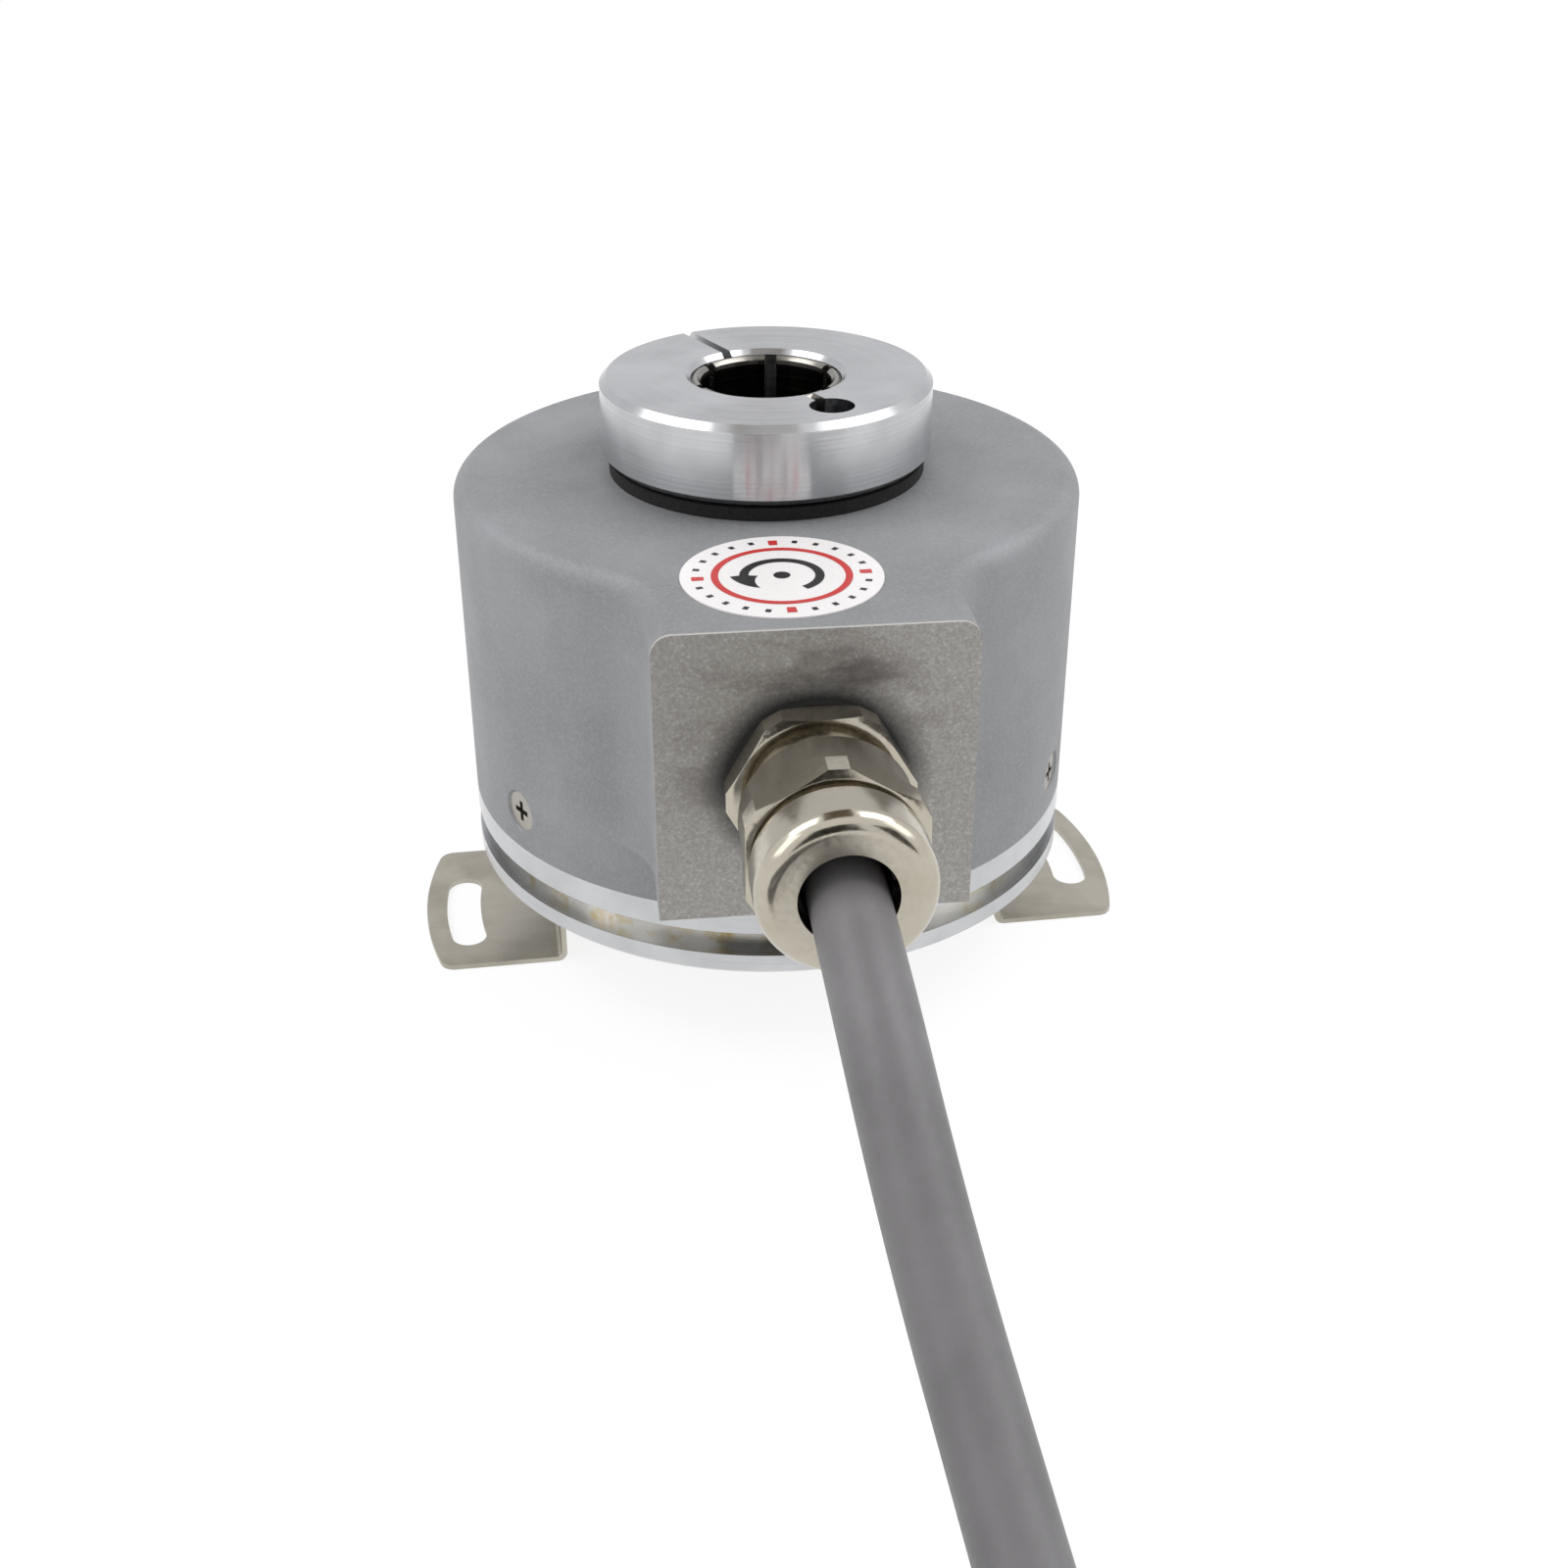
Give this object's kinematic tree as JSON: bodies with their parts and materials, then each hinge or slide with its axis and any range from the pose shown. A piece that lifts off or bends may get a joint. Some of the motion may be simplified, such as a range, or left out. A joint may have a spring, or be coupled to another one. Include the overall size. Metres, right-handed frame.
{
  "type": "optical rotary encoder",
  "caption": "Optical rotary encoder with a hollow through shaft in ball bearings, a round cast housing, a slotted spring coupling and a cable gland with a free cable.",
  "frame": {"origin": "on the shaft's axis, in the plane of the flange's mounting face", "axes": "+Z along the shaft from the flange to the clamping ring, the cable gland points towards -Y, the slotted tabs of the coupling lie along X, turned 2 degrees about Z"},
  "size_m": [0.1032, 0.2082, 0.055],
  "materials": {
    "cast_housing": "matte die-cast and blasted, bare",
    "turned_aluminium": "turned, bright",
    "shaft_steel": "ground stainless steel",
    "bearing_steel": "polished",
    "screw_steel": "zinc plated",
    "spring_steel": "satin rolled stainless",
    "plated_brass": "nickel plated, bright",
    "gland_plastic": "moulded",
    "seal_rubber": "matte",
    "cable_jacket": "matte PVC",
    "core_insulation": "coloured cores",
    "code_glass": "metallised",
    "board_laminate": "solder resist",
    "component_black": "moulded",
    "pale_plastic": "moulded",
    "lamp_lens": "clear moulded",
    "label_film": "printed film"
  },
  "bodies": {
    "stator": {"flange_base": "turned_aluminium", "housing_cover": "cast_housing", "cover_screws": "screw_steel", "cover_o_ring": "seal_rubber", "upper_seal": "seal_rubber", "lower_seal": "seal_rubber", "lower_bearing_outer_race": "bearing_steel", "lower_bearing_shields": "bearing_steel", "upper_bearing_outer_race": "bearing_steel", "upper_bearing_shields": "bearing_steel", "led_holder": "component_black", "light_source": "lamp_lens", "mask_plate": "code_glass", "receiver": "component_black", "circuit_board": "board_laminate", "board_pillars": "screw_steel", "board_screws": "screw_steel", "board_parts": "component_black", "board_connector": "pale_plastic", "lead_plug": "pale_plastic", "inner_leads": "core_insulation", "gland_washer": "seal_rubber", "gland_body": "plated_brass", "gland_seal": "seal_rubber", "gland_claw": "gland_plastic", "gland_nut": "plated_brass", "label_disc": "label_film", "coupling_plate": "spring_steel", "coupling_screws": "screw_steel", "cable": "cable_jacket", "cable_coil": "cable_jacket", "cable_tail": "cable_jacket", "cable_end_sleeve": "seal_rubber", "cable_cores": "core_insulation"},
    "rotor": {"hollow_shaft": "shaft_steel", "clamp_ring": "turned_aluminium", "clamp_screw": "screw_steel", "lower_bearing_inner_race": "bearing_steel", "upper_bearing_inner_race": "bearing_steel", "retaining_ring": "screw_steel", "disc_hub": "turned_aluminium", "code_disc": "code_glass", "disc_clamp_plate": "turned_aluminium", "disc_screws": "screw_steel"},
    "lower_ball_set": {"lower_bearing_balls": "bearing_steel", "lower_bearing_cage": "pale_plastic"},
    "upper_ball_set": {"upper_bearing_balls": "bearing_steel", "upper_bearing_cage": "pale_plastic"}
  },
  "joints": [
    {"name": "shaft_spin", "type": "hinge", "parent": "stator", "child": "rotor", "pos_m": [0, 0, 0], "axis": [0, 0, 1], "continuous": true},
    {"name": "lower_cage_spin", "type": "hinge", "parent": "stator", "child": "lower_ball_set", "pos_m": [0, 0, 0.0056], "axis": [0, 0, 1], "continuous": true},
    {"name": "upper_cage_spin", "type": "hinge", "parent": "stator", "child": "upper_ball_set", "pos_m": [0, 0, 0.0222], "axis": [0, 0, 1], "continuous": true}
  ],
  "couplings": [
    {"joint": "lower_cage_spin", "follows": "shaft_spin", "ratio": 0.43846},
    {"joint": "upper_cage_spin", "follows": "shaft_spin", "ratio": 0.43846}
  ]
}
